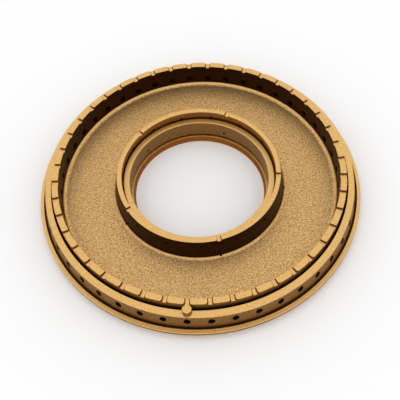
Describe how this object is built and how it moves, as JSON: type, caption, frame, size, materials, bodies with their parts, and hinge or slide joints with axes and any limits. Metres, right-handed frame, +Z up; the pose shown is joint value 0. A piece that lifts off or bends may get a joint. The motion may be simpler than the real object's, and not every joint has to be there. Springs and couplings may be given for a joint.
{
  "type": "gas burner head",
  "caption": "Round one-piece brass burner head for a gas hob: castellated crown over a ported band, open ring-shaped gas chamber, stepped central hub with a wide bore and a locating lug.",
  "frame": {"origin": "on the ring's axis, in the plane of the foot that the part stands on", "axes": "+Z up along the ring's axis, out of the open chamber; the locating lug points along -Y"},
  "size_m": [0.132, 0.132, 0.0152],
  "materials": {
    "brass": "fine machined faces with a tumbled matt grain, coarser as-cast grain on the chamber floor"
  },
  "bodies": {
    "root": {"burner_head": "brass"}
  },
  "joints": []
}
